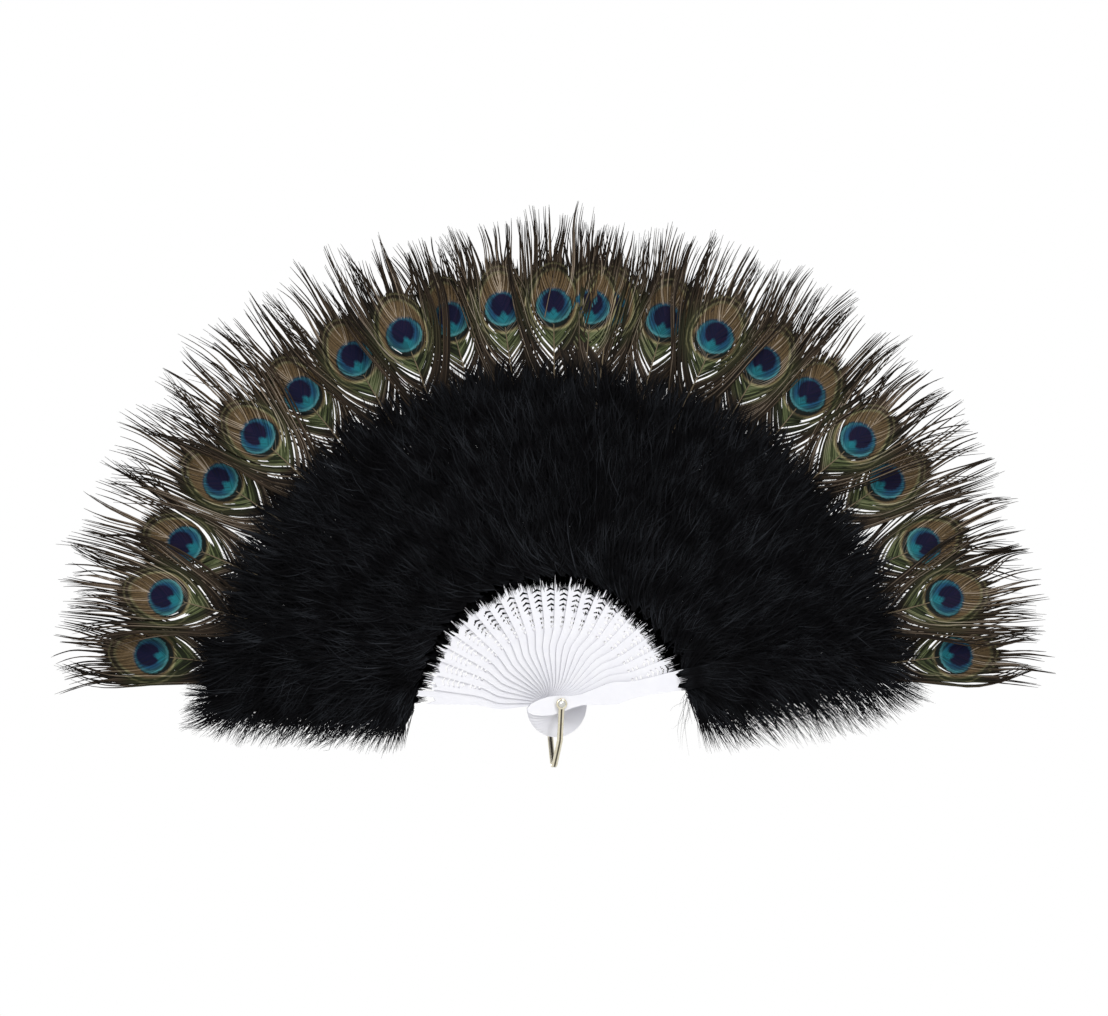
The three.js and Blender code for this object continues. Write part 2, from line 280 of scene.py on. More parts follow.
# Bail
# One length of pale brass-plated wire, pressed flat and bent to a long narrow loop, with an eye round
# each end of the rivet, so the fan can hang from it. It swings freely.
BAIL_GOLD = "#e9e5d6"
BAIL_GOLD_DULL = "#cdc3a4"
# A dark reflection painted into the groove of the wire.
BAIL_PAINTED_REFLECTION = "#2b2419"
BAIL_CLOUD_MM = 2.0
WIRE_RADIUS_MM = 0.85
WIRE_HALF_WIDTH_MM = 1.65
WIRE_SIDES = 36
GROOVE_SHARE = 0.3
GROOVE_DEPTH_SHARE = 0.35
BAIL_LEAN_DEG = 2.8
LEG_LENGTH_MM = 20.35
LEG_STEPS = 12
BIGHT_RADIUS_MM = 3.5
TURN_STEPS = 40
CORNER_CUTS = 3


def plated_wire():
    """Pale brass plate on pressed wire: mirror bright, with a dark reflection painted down the pressed
    groove.
    """
    finish, tree = new_finish("brass_plated_wire")
    place = add_node(tree, "NewGeometry", {}, {}, "Position")
    clouds = add_node(tree, "TexNoise", {}, {
        "Vector": place, "Scale": 1 / (BAIL_CLOUD_MM * MM), "Detail": 3.0})
    tint = add_node(tree, "Mix", {"data_type": "RGBA"}, {
        "Factor": clouds, 6: linear(BAIL_GOLD), 7: linear(BAIL_GOLD_DULL)}, 2)
    # Painted reflection: the colour darkens along the middle of the pressed groove.
    across = add_node(tree, "Attribute", {"attribute_name": "wire_across"}, {}, "Fac")
    from_middle = add_node(tree, "Math", {"operation": "ABSOLUTE"}, {0: across})
    painted_reflection_share = add_node(tree, "MapRange", {}, {
        "Value": from_middle, "From Min": 0.7 * GROOVE_SHARE, "From Max": 1.3 * GROOVE_SHARE,
        "To Min": 0.9, "To Max": 0.0})
    with_painted_reflection = add_node(tree, "Mix", {"data_type": "RGBA"}, {
        "Factor": painted_reflection_share, 6: tint, 7: linear(BAIL_PAINTED_REFLECTION)}, 2)
    shader = add_node(tree, "BsdfPrincipled", {}, {
        "Base Color": with_painted_reflection, "Metallic": 1.0, "Roughness": 0.14})
    add_node(tree, "OutputMaterial", {}, {"Surface": shader})
    return finish


def swept_wire(line, turn):
    """Corners of the pressed wire along a line of points, each ring square to the line."""
    along = np.gradient(line, axis=0)
    along /= np.linalg.norm(along, axis=1, keepdims=True)
    across = np.cross(along, (1.0, 0.0, 0.0))
    across /= np.linalg.norm(across, axis=1, keepdims=True)
    third = np.cross(along, across)
    groove = GROOVE_DEPTH_SHARE * np.exp(-(np.cos(turn) / GROOVE_SHARE) ** 2)
    high = wire_radius * np.sin(turn) * (1 - groove)
    wide = WIRE_HALF_WIDTH_MM * MM * np.cos(turn)
    return line[:, None] + (third[:, None] * wide[None, :, None] + across[:, None] * high[None, :, None])


bail_finish = plated_wire()
bail_low, bail_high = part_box("bail")
wire_radius = WIRE_RADIUS_MM * MM
leg_depth = bail_high.y - wire_radius
eye_radius = bail_high.z - wire_radius
lean = math.radians(BAIL_LEAN_DEG)
bail_length = -bail_low.z / math.cos(lean)
bight_radius = BIGHT_RADIUS_MM * MM
leg_end = -LEG_LENGTH_MM * MM
bight_middle = bight_radius + wire_radius - bail_length

# Half of the loop, in depth and height: the rear leg, then half of the bight, with its corners cut.
slant = math.atan2(leg_depth - bight_radius, leg_end - bight_middle)
bend = np.linspace(slant, math.pi - slant, TURN_STEPS)
leg_side = np.array([(leg_depth, z) for z in np.linspace(-eye_radius, leg_end, LEG_STEPS)])
bight = np.stack([bight_radius * np.cos(bend), bight_middle - bight_radius * np.sin(bend)], 1)
half_line = np.concatenate([leg_side, bight[:TURN_STEPS // 2]])
for _ in range(CORNER_CUTS):
    mids = 0.5 * (half_line[1:] + half_line[:-1])
    half_line = np.concatenate([half_line[:1], np.stack([
        0.5 * (half_line[:-1] + mids), 0.5 * (mids + half_line[1:])], 1).reshape(-1, 2), half_line[-1:]])
wire_line = np.concatenate([
    [(0.0, -y, z) for y, z in half_line],
    [(0.0, y, z) for y, z in half_line[::-1]]])

section = 2 * math.pi * np.arange(WIRE_SIDES) / WIRE_SIDES
wire_corners = [swept_wire(wire_line, section).reshape(-1, 3)]
wire_faces = [grid_faces(len(wire_line), WIRE_SIDES, close_columns=True)]
wire_across = [np.broadcast_to(np.cos(section), (len(wire_line), WIRE_SIDES)).ravel()]
turn = 2 * math.pi * np.arange(TURN_STEPS) / TURN_STEPS
reach = eye_radius + wire_radius * np.cos(section)[None, :]
for eye_depth in (-leg_depth, leg_depth):
    eye_ring = np.stack([
        reach * np.sin(turn)[:, None],
        np.broadcast_to(eye_depth + wire_radius * np.sin(section), (TURN_STEPS, WIRE_SIDES)),
        reach * np.cos(turn)[:, None]], 2)
    wire_faces.append(grid_faces(TURN_STEPS, WIRE_SIDES, True, True) + sum(map(len, wire_corners)))
    wire_corners.append(eye_ring.reshape(-1, 3))
    wire_across.append(np.ones(TURN_STEPS * WIRE_SIDES))
bail_turn = np.array([
    [math.cos(lean), 0.0, math.sin(lean)],
    [0.0, 1.0, 0.0],
    [-math.sin(lean), 0.0, math.cos(lean)]])
mesh_piece("bail_wire", np.concatenate(wire_corners) @ bail_turn.T, np.concatenate(wire_faces), bail_finish,
           "bail", "pale_gold_wire", "bail", {"wire_across": np.concatenate(wire_across)})


# Tufts of down
# Each stick's tongue carries marabou, the soft down of a turkey, dyed black and tied on in a tuft.
# Hundreds of fine barbs leave each short quill sideways, then bend outward, and their tips clump.
DOWN_BLACK = "#070709"
DOWN_PALE = "#32353a"
DOWN_SHEEN = "#23262b"
DOWN_PATCH_MM = 14.0
DOWN_STEPS = 6
TUFT_OUTER_MM = 192.0
TUFT_OUTER_SIDE_MM = 13.0
TUFT_REACH_MM = 38.0
HEART_REACH_SHARE = 0.86
END_REACH_SHARE = 0.72
FRONT_FRINGE_MM = 50.0
REAR_FRINGE_MM = 36.0
QUILL_END_MM = 165.0
QUILL_HALF_WIDTH_MM = 3.0
CLUMP_LENGTH_MM = 7.0
CLUMP_WIDTH_MM = 6.0
CLUMP_SWAY_MM = 1.6
LOOSE_TILT = 0.5
OVER_LIFT_MM = 0.55
COVER_LIFT_MM = 3.3
STICK_BACK_MM = 0.52
GUARD_BACK_MM = 0.95
INWARD_HALF_WIDTH_MM = 6.0
STICK_END_SHARE = 0.98
TONGUE_START_MM = 108.3
TONGUE_SPREAD_MM = 63.0
LAYER_SPREAD = 0.6

# The down's inner edge (mm from the pivot) and its overlap with the pierced blade (mm), both by the
# stick's angle in degrees up from the right.
TUFT_INNER = ((10, 69.5), (30, 66.0), (50, 64.5), (70, 68.0),
              (100, 69.5), (140, 73.0), (165, 73.5), (175, 77.0))
SHADED_PIERCING = ((10, 14), (30, 8), (55, 8), (72, 28), (126, 28), (150, 10))

# Each group of outward barbs: their number, the angles at which they leave the quill (degrees), how
# far they wander and puff out and their width (mm), and where they bend (shares out and across).
DOWN_GROUPS = {
    "heart": (260, (40, 70), 0.6, 2.0, 2.4, (0.35, 0.8)),
    "loose": (1500, (32, 72), 1.1, 6.0, 0.5, (0.35, 0.8)),
    "fringe": (1600, (62, 92), 1.3, 6.0, 0.5, (0.6, 0.5)),
    "stray": (70, (80, 95), 2.6, 1.0, 0.2, (0.7, 0.4))}

LAYER_BODIES = ["front_blade", *(f"blade_{i:02d}" for i in range(1, 12)), "centre_blade",
                *(f"blade_{i:02d}" for i in range(13, 24)), "rear_blade"]
LAYER_PLUMES = ["front_plume", *(f"plume_{i:02d}" for i in range(1, 24)), "rear_plume"]
LAST_LAYER = len(LAYER_STICKS) - 1


def dyed_marabou():
    """Dyed down: matt black, with paler filaments that lie together in patches."""
    finish, tree = new_finish("dyed_marabou")
    tone = add_node(tree, "Attribute", {"attribute_name": "tone"}, {}, "Fac")
    place = add_node(tree, "NewGeometry", {}, {}, "Position")
    patches = add_node(tree, "TexNoise", {}, {
        "Vector": place, "Scale": 1 / (DOWN_PATCH_MM * MM), "Detail": 2.0})
    patchy = add_node(tree, "MapRange", {}, {"Value": patches, "From Min": 0.35, "From Max": 0.7})
    few = add_node(tree, "Math", {"operation": "POWER"}, {0: tone, 1: 2.5})
    lift = add_node(tree, "Math", {"operation": "MULTIPLY"}, {0: few, 1: patchy})
    tint = add_node(tree, "Mix", {"data_type": "RGBA"}, {
        "Factor": lift, 6: linear(DOWN_BLACK), 7: linear(DOWN_PALE)}, 2)
    shader = add_node(tree, "BsdfPrincipled", {}, {
        "Base Color": tint, "Roughness": 0.9, "Specular IOR Level": 0.08, "Sheen Weight": 0.05,
        "Sheen Roughness": 0.6, "Sheen Tint": linear(DOWN_SHEEN)})
    add_node(tree, "OutputMaterial", {}, {"Surface": shader})
    return finish


def ease(x):
    """A smooth step from 0 to 1."""
    x = np.clip(x, 0.0, 1.0)
    return x * x * (3 - 2 * x)


def curve(x, points):
    """The value at x on a line through (x, value) points."""
    return np.interp(x, *zip(*points))


def ribbon_corners(paths, widths, facing):
    """Corners of flat ribbons: two to each step of each path, square to the path and to facing."""
    along = np.gradient(paths, axis=1)
    across = np.cross(along, facing)
    across /= np.maximum(np.linalg.norm(across, axis=2, keepdims=True), 1e-9)
    half = 0.5 * widths[:, :, None] * across
    return np.stack([paths - half, paths + half], 2)


def ribbon_faces(count, steps, columns):
    """Quads of many equal ribbons, each a grid of steps and columns."""
    one = grid_faces(steps, columns)
    return (one[None] + (steps * columns * np.arange(count))[:, None, None]).reshape(-1, 4)


def outer_end(node_name, share):
    """A node's outer end, from its corners beyond a share of its reach: its angle up from +X, its depth
    and its reach."""
    corners = np.array([v.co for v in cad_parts[node_name].data.vertices])
    reach = np.hypot(corners[:, 0], corners[:, 2])
    end = corners[reach > share * reach.max()].mean(0)
    return math.atan2(end[2], end[0]), end[1], reach.max()


def placed(radius, across, height, angle, depth):
    """Points of one blade from its own sizes in mm: out from the pivot, to the right, to the front. The
    tufts push the layers apart, so depths grow outward along the tongues."""
    out = np.array([math.cos(angle), 0.0, math.sin(angle)])
    right = np.array([math.sin(angle), 0.0, -math.cos(angle)])
    points = radius[..., None] * out + across[..., None] * right
    pushed = 1 + LAYER_SPREAD * np.clip((radius - TONGUE_START_MM) / TONGUE_SPREAD_MM, 0, 1)
    points[..., 1] = depth / MM * pushed - height
    return points * MM


def down_paths(rng, inner, tip_radius, tip_across, leave_deg, wander, bend):
    """Barbs of down from the quill to their tips: they leave it sideways and bend outward."""
    count = len(tip_radius)
    root_radius = tip_radius - np.abs(tip_across) / np.tan(np.radians(leave_deg)) - rng.uniform(4, 18, count)
    root_radius = np.clip(root_radius, inner + rng.uniform(0, 8, count), QUILL_END_MM)
    root_across = rng.uniform(-QUILL_HALF_WIDTH_MM, QUILL_HALF_WIDTH_MM, count) + 0.25 * tip_across
    bend_radius = root_radius + bend[0] * (tip_radius - root_radius)
    bend_across = root_across + bend[1] * (tip_across - root_across)
    t = down_t
    bezier = ((1 - t) ** 2, 2 * t * (1 - t), t ** 2)
    radius = sum(b * p[:, None] for b, p in zip(bezier, (root_radius, bend_radius, tip_radius)))
    across = sum(b * p[:, None] for b, p in zip(bezier, (root_across, bend_across, tip_across)))
    # Tips that lie in the same patch sway alike; the two factors only keep the patches apart.
    clump = np.floor(tip_radius / CLUMP_LENGTH_MM) * 13.1 + np.floor(tip_across / CLUMP_WIDTH_MM) * 7.7
    own = rng.normal(0, wander, count)[:, None] * np.sin(math.pi * t * rng.uniform(0.8, 2.2, (count, 1))) * t
    across = across + np.sin(clump)[:, None] * CLUMP_SWAY_MM * np.sin(2.2 * math.pi * t) * t + own
    return radius + 0.6 * own, across


def tuft(layer):
    """One tuft of down: a dense heart, loose barbs over it, a fringe on an end stick's open side, and
    barbs that run inward over and behind the blade's pierced end."""
    rng = np.random.default_rng(100 + layer)
    angle, depth, _ = outer_end(LAYER_STICKS[layer], STICK_END_SHARE)
    to_end = min(layer, LAST_LAYER - layer)
    open_side = 1 if layer <= LAST_LAYER / 2 else -1
    inner = curve(math.degrees(angle), TUFT_INNER) + rng.uniform(-1.0, 1.0)
    outer = TUFT_OUTER_MM + TUFT_OUTER_SIDE_MM * abs(math.cos(angle))
    corners, tones = [], []

    def tips(group, count):
        """Where a group's barbs end, out from the pivot and across."""
        if group == "fringe":
            out = rng.uniform(inner + 4, outer + 2, count)
            share = curve(out, ((73, 0.82), (90, 0.94), (170, 1.0), (outer + 2, 0.8)))
            reach = FRONT_FRINGE_MM if layer < 2 else REAR_FRINGE_MM
            return out, open_side * rng.uniform(0.02, 1.0, count) ** 0.5 * reach * share
        if group == "stray":
            return rng.uniform(inner - 10, inner + 30, count), open_side * rng.uniform(14, 42, count)
        out = inner + 8 + (outer - inner - 8) * rng.uniform(0, 1, count) ** 0.8
        share = curve(out, ((75, 0.62), (95, 0.95), (140, 1.0), (175, 0.88), (outer, 0.7)))
        reach = TUFT_REACH_MM * (HEART_REACH_SHARE if group == "heart" else 1.0)
        across = rng.uniform(-1, 1, count) * reach * share
        return out, across * np.where((across * open_side > 0) & (to_end < 2), END_REACH_SHARE, 1.0)

    def add_barbs(radius, across, height, widths, tilt):
        """Makes ribbons of barbs, each with its own tilt and tone."""
        count = len(radius)
        facing = np.stack([rng.normal(0, tilt, count), -np.ones(count), rng.normal(0, tilt, count)], 1)
        ribbons = ribbon_corners(placed(radius, across, height, angle, depth), widths, facing[:, None])
        corners.append(ribbons.reshape(-1, 3))
        tones.append(np.repeat(rng.uniform(0, 2 * tilt, count), 2 * (DOWN_STEPS + 1)))

    groups = ["heart", "loose"] + ["fringe"] * (to_end < 2) + ["stray"] * (layer == 0)
    drawn = []
    for group in groups:
        count, leave_deg = DOWN_GROUPS[group][:2]
        drawn.append((*tips(group, count), rng.uniform(*leave_deg, count)))
    for group, (tip_radius, tip_across, leave_deg) in zip(groups, drawn):
        count, _, wander, puff, width, bend = DOWN_GROUPS[group]
        radius, across = down_paths(rng, inner, tip_radius, tip_across, leave_deg, wander, bend)
        lift = np.clip(rng.normal(0, puff, count), -2.6 * puff, 2.6 * puff)
        lift = lift * curve(tip_radius, ((75, 0.35), (100, 1.0), (150, 1.0), (192, 0.7)))
        height = lift[:, None] * np.sin(0.5 * math.pi * down_t) ** 1.2
        widths = width * MM * rng.uniform(0.7, 1.2, (count, 1)) * (1 - 0.85 * down_t ** 2.4)
        add_barbs(radius, across, height, widths, LOOSE_TILT)

    # Inward barbs: their number, where they start and end (mm from the down's inner edge), how much
    # they crowd there, their height and width (mm), their tilt, and how much they close up.
    under_reach = curve(math.degrees(angle), SHADED_PIERCING)
    back = STICK_BACK_MM if to_end else GUARD_BACK_MM
    inward = [(140, (6, 14), (-7, 1), 1.5, OVER_LIFT_MM, 0.6, 0.0, 0.15)]
    if layer < LAST_LAYER - 1:
        inward.append((150, (2, 16), (-under_reach, 0), 1.6, -back, 0.65, 0.0, 0.5))
    if to_end == 0:
        inward.append((620, (14, 52), (-3, 20), 1.0, open_side * COVER_LIFT_MM, 0.75, LOOSE_TILT, 0.15))
    for count, starts, ends, crowding, height, width, tilt, closing in inward:
        start = rng.uniform(inner + starts[0], inner + starts[1], count)[:, None]
        nearest, farthest = inner + ends[0], inner + ends[1]
        end = farthest - (farthest - nearest) * rng.uniform(0, 1, count)[:, None] ** crowding
        across = rng.uniform(-INWARD_HALF_WIDTH_MM, INWARD_HALF_WIDTH_MM, count)[:, None]
        across = across * (1 - closing * down_t) + rng.normal(0, 0.8, count)[:, None] * down_t ** 2
        widths = width * MM * (1 - 0.8 * down_t ** 3)
        add_barbs(start + (end - start) * down_t, across, height, widths, tilt)

    tones = np.concatenate(tones)
    faces = ribbon_faces(len(tones) // (2 * (DOWN_STEPS + 1)), DOWN_STEPS + 1, 2)
    piece = mesh_piece(f"tuft_{layer:02d}", np.concatenate(corners), faces, down_finish, LAYER_BODIES[layer],
                       "marabou", LAYER_PLUMES[layer], {"tone": tones})
    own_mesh(piece)


down_finish = dyed_marabou()
down_t = np.linspace(0, 1, DOWN_STEPS + 1)[None, :]
for tuft_layer in range(len(LAYER_STICKS)):
    tuft(tuft_layer)


# Peacock feathers
# Twenty-two trimmed tail feathers with their eyes, one glued into a tuft. The eye is a tight vane of
# barbs in coloured rings, and the barbs below it stand apart and sweep up past it to loose tips.
EYE_RADIUS_MM = 225.0
EYE_DROP_MM = 4.8
BARB_STEPS = 16
BARB_WIDTH_MM = 1.2
BARB_RIDGE_MM = 0.18
BARB_CLUMP = 5
SHAFT_WIDTH_MM = 1.1
SHAFT_FOOT_MM = -58.0
SHAFT_TIP_MM = -10.0
FRONT_LIMIT_MM = 40.0
TIP_LEAN_DEG = 10.0
TWIST_DEG = 14.0
TWISTED_LAYERS = 12
FORWARD_MM = 7.0
FORWARD_LAYERS = (1, 5, 8, 15, 19, 22)
BARE_SIDES = {0: 1, LAST_LAYER: -1}
PLUME_END_SHARE = 0.9
SPECKLES_PER_MM = 0.9
JITTER_MM = 1.2

HEART = "#070a26"
HEART_VIOLET = "#150f2a"
# A painted highlight: a lighter cyan ring round the eye's blue disc.
DISC_PAINTED_HIGHLIGHT = "#5a9fa8"
DISC_BLUE = "#1a4766"
DISC_TURQUOISE = "#1c7a7d"
DISC_TEAL = "#1c4c54"
DISC_MOSS = "#2f5a4c"
DISC_RIM = "#0d1413"
BRONZE = "#6f5d42"
BRONZE_DARK = "#4a3a27"
EGG_LINE = "#918c66"
BAND_OLIVE = "#2b2f1b"
UNDER_EYE_GREEN = "#5a6440"
UNDER_EYE_DARK = "#1b2013"
BARB_BROWN = "#5d4d3d"
BARB_DARK = "#16110c"
BARB_CORE = "#bfb1a0"
BARB_SHADE = "#0e0c09"
SHAFT_HORN = "#6f6350"

# Ovals of the eye: where the middle is along the shaft, half the length and half the width (mm), how
# much the far end narrows, and how soft the edge is (share).
EYE_OVALS = {
    "band": (2.0, 20.5, 18.5, 0.0, 0.25),
    "outer_line": (3.8, 20.4, 15.6, 0.14, 0.02),
    "under_eye": (-14.0, 9.0, 8.5, 0.0, 0.35),
    "egg": (3.8, 17.4, 13.3, 0.16, 0.03),
    "bronze": (3.7, 16.2, 12.5, 0.16, 0.05),
    "rim": (-1.2, 11.0, 10.9, 0.0, 0.05),
    "disc": (0.0, 9.1, 9.9, 0.0, 0.05),
    "painted_highlight_ring": (0.0, 9.1, 9.9, 0.0, 0.04),
    "blue": (1.0, 8.3, 8.6, 0.0, 0.2),
    "below_heart": (-4.8, 3.4, 3.4, 0.0, 0.5),
    "heart": (2.1, 6.6, 6.3, 0.0, 0.1),
    "notch": (-5.6, 4.3, 2.3, 0.3, 0.25)}

# Ramps over the vane: the value each one follows, from where to where, and what it gives there. Values
# along the barb run from 0 to 1, up the shaft in mm, and a far value is 1 on its oval's edge.
EYE_RAMPS = {
    "to_tip": ("along", 0.45, 1.0, 1.0, 0.0),
    "near_down": ("up", -32.0, 5.0, 0.25, 1.0),
    "browner": ("tone", 0.1, 0.85, 0.0, 1.0),
    "band_fade": ("up", 8.0, 20.0, 1.0, 0.25),
    "outer_line_edge": ("far_outer_line", 0.94, 0.97, 0.0, 0.3),
    "mottling": ("tone", 0.2, 0.8, 0.0, 1.0),
    "egg_tone": ("tone", 0.1, 0.6, 0.15, 1.0),
    "egg_fade": ("up", 10.0, 20.0, 1.0, 0.5),
    "turquoise": ("below_heart", 0.0, 1.0, 0.0, 0.6),
    "painted_highlight_outer": ("far_painted_highlight_ring", 0.82, 0.94, 0.0, 0.5),
    "painted_highlight_lower": ("up", -1.0, 5.0, 1.0, 0.2),
    "streak": ("tone", 0.1, 0.6, 0.4, 0.0),
    "violet": ("tone", 0.3, 0.9, 0.0, 1.0),
    "edge_shade": ("edge", 0.35, 1.0, 0.0, 0.8),
    "smooth": ("disc", 0.0, 1.0, 1.0, 0.8),
    "core_line": ("edge", 0.12, 0.42, 1.0, 0.0),
    "core_tone": ("tone", 0.58, 0.9, 0.0, 0.65),
    "off_disc": ("disc", 0.0, 1.0, 1.0, 0.0),
    "off_under_eye": ("under_eye", 0.0, 1.0, 1.0, 0.4),
    "shaft": ("tone", 1.4, 1.6, 0.0, 1.0)}

# Colours of two tones: what decides between them, and both.
EYE_BLENDS = {
    "mottled": ("mottling", UNDER_EYE_DARK, UNDER_EYE_GREEN),
    "speckled": ("speckle", BRONZE_DARK, BRONZE),
    "teal": ("hue", DISC_TEAL, DISC_MOSS),
    "indigo": ("violet", HEART, HEART_VIOLET)}

# Colours laid over the dark barbs one after another, each as strongly as the product of its levels.
EYE_LAYERS = (
    (BARB_BROWN, ("browner", "to_tip", "near_down")),
    (BAND_OLIVE, ("band", "band_fade")),
    (EGG_LINE, ("outer_line", "outer_line_edge")),
    ("mottled", ("under_eye",)),
    (EGG_LINE, ("egg", "egg_tone", "egg_fade")),
    ("speckled", ("bronze",)),
    (DISC_RIM, ("rim",)),
    ("teal", ("disc",)),
    (DISC_BLUE, ("blue",)),
    (DISC_TURQUOISE, ("turquoise",)),
    # Painted highlight: the lighter cyan ring at the disc's edge, strongest on its lower side.
    (DISC_PAINTED_HIGHLIGHT, ("painted_highlight_ring", "painted_highlight_outer", "painted_highlight_lower")),
    (DISC_RIM, ("disc", "streak")),
    ("indigo", ("cut",)),
    (BARB_SHADE, ("edge_shade", "smooth")),
    (BARB_CORE, ("core_line", "core_tone", "off_disc", "to_tip", "off_under_eye", "near_down")),
    (SHAFT_HORN, ("shaft",)))

# Along the shaft, in mm from the eye's middle: the angle at which barbs leave it and run on (degrees),
# how they flare at their tips, where they end (mm), how much longer than that they are, where they
# turn (share) and how wide they are (share).
LEAVES = ((-54, 36), (-30, 42), (-15, 47), (0, 34), (13, 9), (17, 4))
RUNS = ((-54, 15), (-32, 12), (-15, 7), (0, 3), (13, 2))
FLARES = ((-54, 1.3), (-15, 1.1), (17, 0.4))
ENDS = ((-54, -16), (-30, -9), (-15, -5), (0, -3), (17, 0))
EXTRA_LENGTHS = ((-54, 1.12), (-15, 1.1), (17, 1.02))
TURNS = ((-54, 0.3), (-22, 0.4), (-15, 0.36), (17, 0.5))
BREADTHS = ((-54, 1.08), (-23, 1.08), (-20, 1.12), (17, 1.12))

# How far the feathers reach from the pivot (mm), by their angle from upright in degrees. A plume
# that ends nearer than the least reach is a tuft alone.
FEATHER_REACH = ((0, 270), (18, 274), (36, 284), (60, 286), (85, 281))
FEATHER_LEAST_REACH_MM = 200.0

# Where the loose barbs give way to the tight vane, in mm from the eye's middle.
LOOSE_ROWS_END_MM = -23.4
LOOSE_ROOTS_END_MM = -23.2
VANE_START_MM = -23.0
VANE_END_MM = 17.0
VANE_SPACING_MM = 0.85
LOOSE_BARBS_END_MM = -22.2
LIMP_BARBS_END_MM = -21.8


def peacock_barbs():
    """Peacock barbs: each a pale core between dark barbules, which take the eye's colours in rings."""
    finish, tree = new_finish("peacock_barbs")
    eye = add_node(tree, "Attribute", {"attribute_name": "eye_place"}, {}, "Vector")
    barb = add_node(tree, "Attribute", {"attribute_name": "barb_place"}, {}, "Vector")
    along, across, tone = add_node(tree, "SeparateXYZ", {}, {0: barb}).node.outputs
    speckle = add_node(tree, "TexNoise", {}, {"Vector": eye, "Scale": SPECKLES_PER_MM, "Detail": 3.0})
    jittered = add_node(tree, "VectorMath", {"operation": "MULTIPLY_ADD"}, {
        0: speckle.node.outputs["Color"], 1: (JITTER_MM, JITTER_MM, 0.0), 2: eye})
    place = add_node(tree, "VectorMath", {"operation": "ADD"}, {
        0: jittered, 1: (-0.5 * JITTER_MM, -0.5 * JITTER_MM, 0.0)})
    up, out, _ = add_node(tree, "SeparateXYZ", {}, {0: place}).node.outputs
    levels = {
        "along": along, "tone": tone, "up": up, "speckle": speckle,
        "hue": add_node(tree, "SeparateXYZ", {}, {0: eye}, "Z"),
        "edge": add_node(tree, "Math", {"operation": "ABSOLUTE"}, {0: across})}
    for name, (middle, half_length, half_width, narrowing, softness) in EYE_OVALS.items():
        ahead = add_node(tree, "MapRange", {"clamp": False}, {
            "Value": up, "From Min": middle, "From Max": middle + half_length})
        narrower = add_node(tree, "Math", {"operation": "MULTIPLY_ADD"}, {0: ahead, 1: narrowing, 2: 1.0})
        aside = add_node(tree, "Math", {"operation": "DIVIDE"}, {0: out, 1: half_width})
        aside = add_node(tree, "Math", {"operation": "MULTIPLY"}, {0: aside, 1: narrower})
        both = add_node(tree, "CombineXYZ", {}, {0: ahead, 1: aside})
        far = add_node(tree, "VectorMath", {"operation": "LENGTH"}, {0: both}, "Value")
        levels["far_" + name] = far
        levels[name] = add_node(tree, "MapRange", {}, {
            "Value": far, "From Min": 1 - softness, "From Max": 1 + softness, "To Min": 1.0, "To Max": 0.0})
    levels["cut"] = add_node(tree, "Math", {"operation": "SUBTRACT", "use_clamp": True}, {
        0: levels["heart"], 1: levels["notch"]})
    for name, (follows, low, high, at_low, at_high) in EYE_RAMPS.items():
        levels[name] = add_node(tree, "MapRange", {}, {
            "Value": levels[follows], "From Min": low, "From Max": high, "To Min": at_low, "To Max": at_high})

    blends = {}
    for name, (follows, first, second) in EYE_BLENDS.items():
        blends[name] = add_node(tree, "Mix", {"data_type": "RGBA"}, {
            "Factor": levels[follows], 6: linear(first), 7: linear(second)}, 2)
    colour = linear(BARB_DARK)
    for tint, (first, *others) in EYE_LAYERS:
        share = levels[first]
        for name in others:
            share = add_node(tree, "Math", {"operation": "MULTIPLY"}, {0: share, 1: levels[name]})
        colour = add_node(tree, "Mix", {"data_type": "RGBA"}, {
            "Factor": share, 6: colour, 7: blends[tint] if tint in blends else linear(tint)}, 2)
    shader = add_node(tree, "BsdfPrincipled", {}, {
        "Base Color": colour, "Roughness": 0.6, "Specular IOR Level": 0.08})
    add_node(tree, "OutputMaterial", {}, {"Surface": shader})
    return finish


def barb_rows(rng):
    """Where each barb leaves the shaft, in mm from the eye's middle, and on which side."""
    roots, sides = [], []
    for side in (-1.0, 1.0):
        below = np.cumsum(rng.choice([1.4, 1.7, 3.1], 26, p=[0.42, 0.28, 0.3])) + SHAFT_FOOT_MM
        in_eye = np.arange(VANE_START_MM, VANE_END_MM, VANE_SPACING_MM) + 0.2 * side
        one_side = np.concatenate([below[below < LOOSE_ROWS_END_MM], in_eye])
        roots.append(one_side)
        sides.append(np.full(len(one_side), side))
    roots = np.concatenate(roots)
    return roots + rng.normal(0, np.where(roots < LOOSE_ROOTS_END_MM, 0.3, 0.12)), np.concatenate(sides)


def drift(rng, root, side, spacing, spread):
    """A random value that changes slowly along the shaft, so that neighbouring barbs lie alike."""
    knots = np.arange(-70.0, 30.0, spacing)
    left, right = rng.normal(0, spread, (2, len(knots)))
    return np.where(side < 0, np.interp(root, knots, left), np.interp(root, knots, right))


def shortened(lines, share):
    """The same lines, each kept only up to a share of its steps and spread over all of them again."""
    steps = lines.shape[1] - 1
    at = share[:, None] * np.arange(steps + 1)[None, :]
    low = np.minimum(at.astype(int), steps - 1)
    part = at - low
    rows = np.arange(len(lines))[:, None]
    return lines[rows, low] * (1 - part) + lines[rows, low + 1] * part


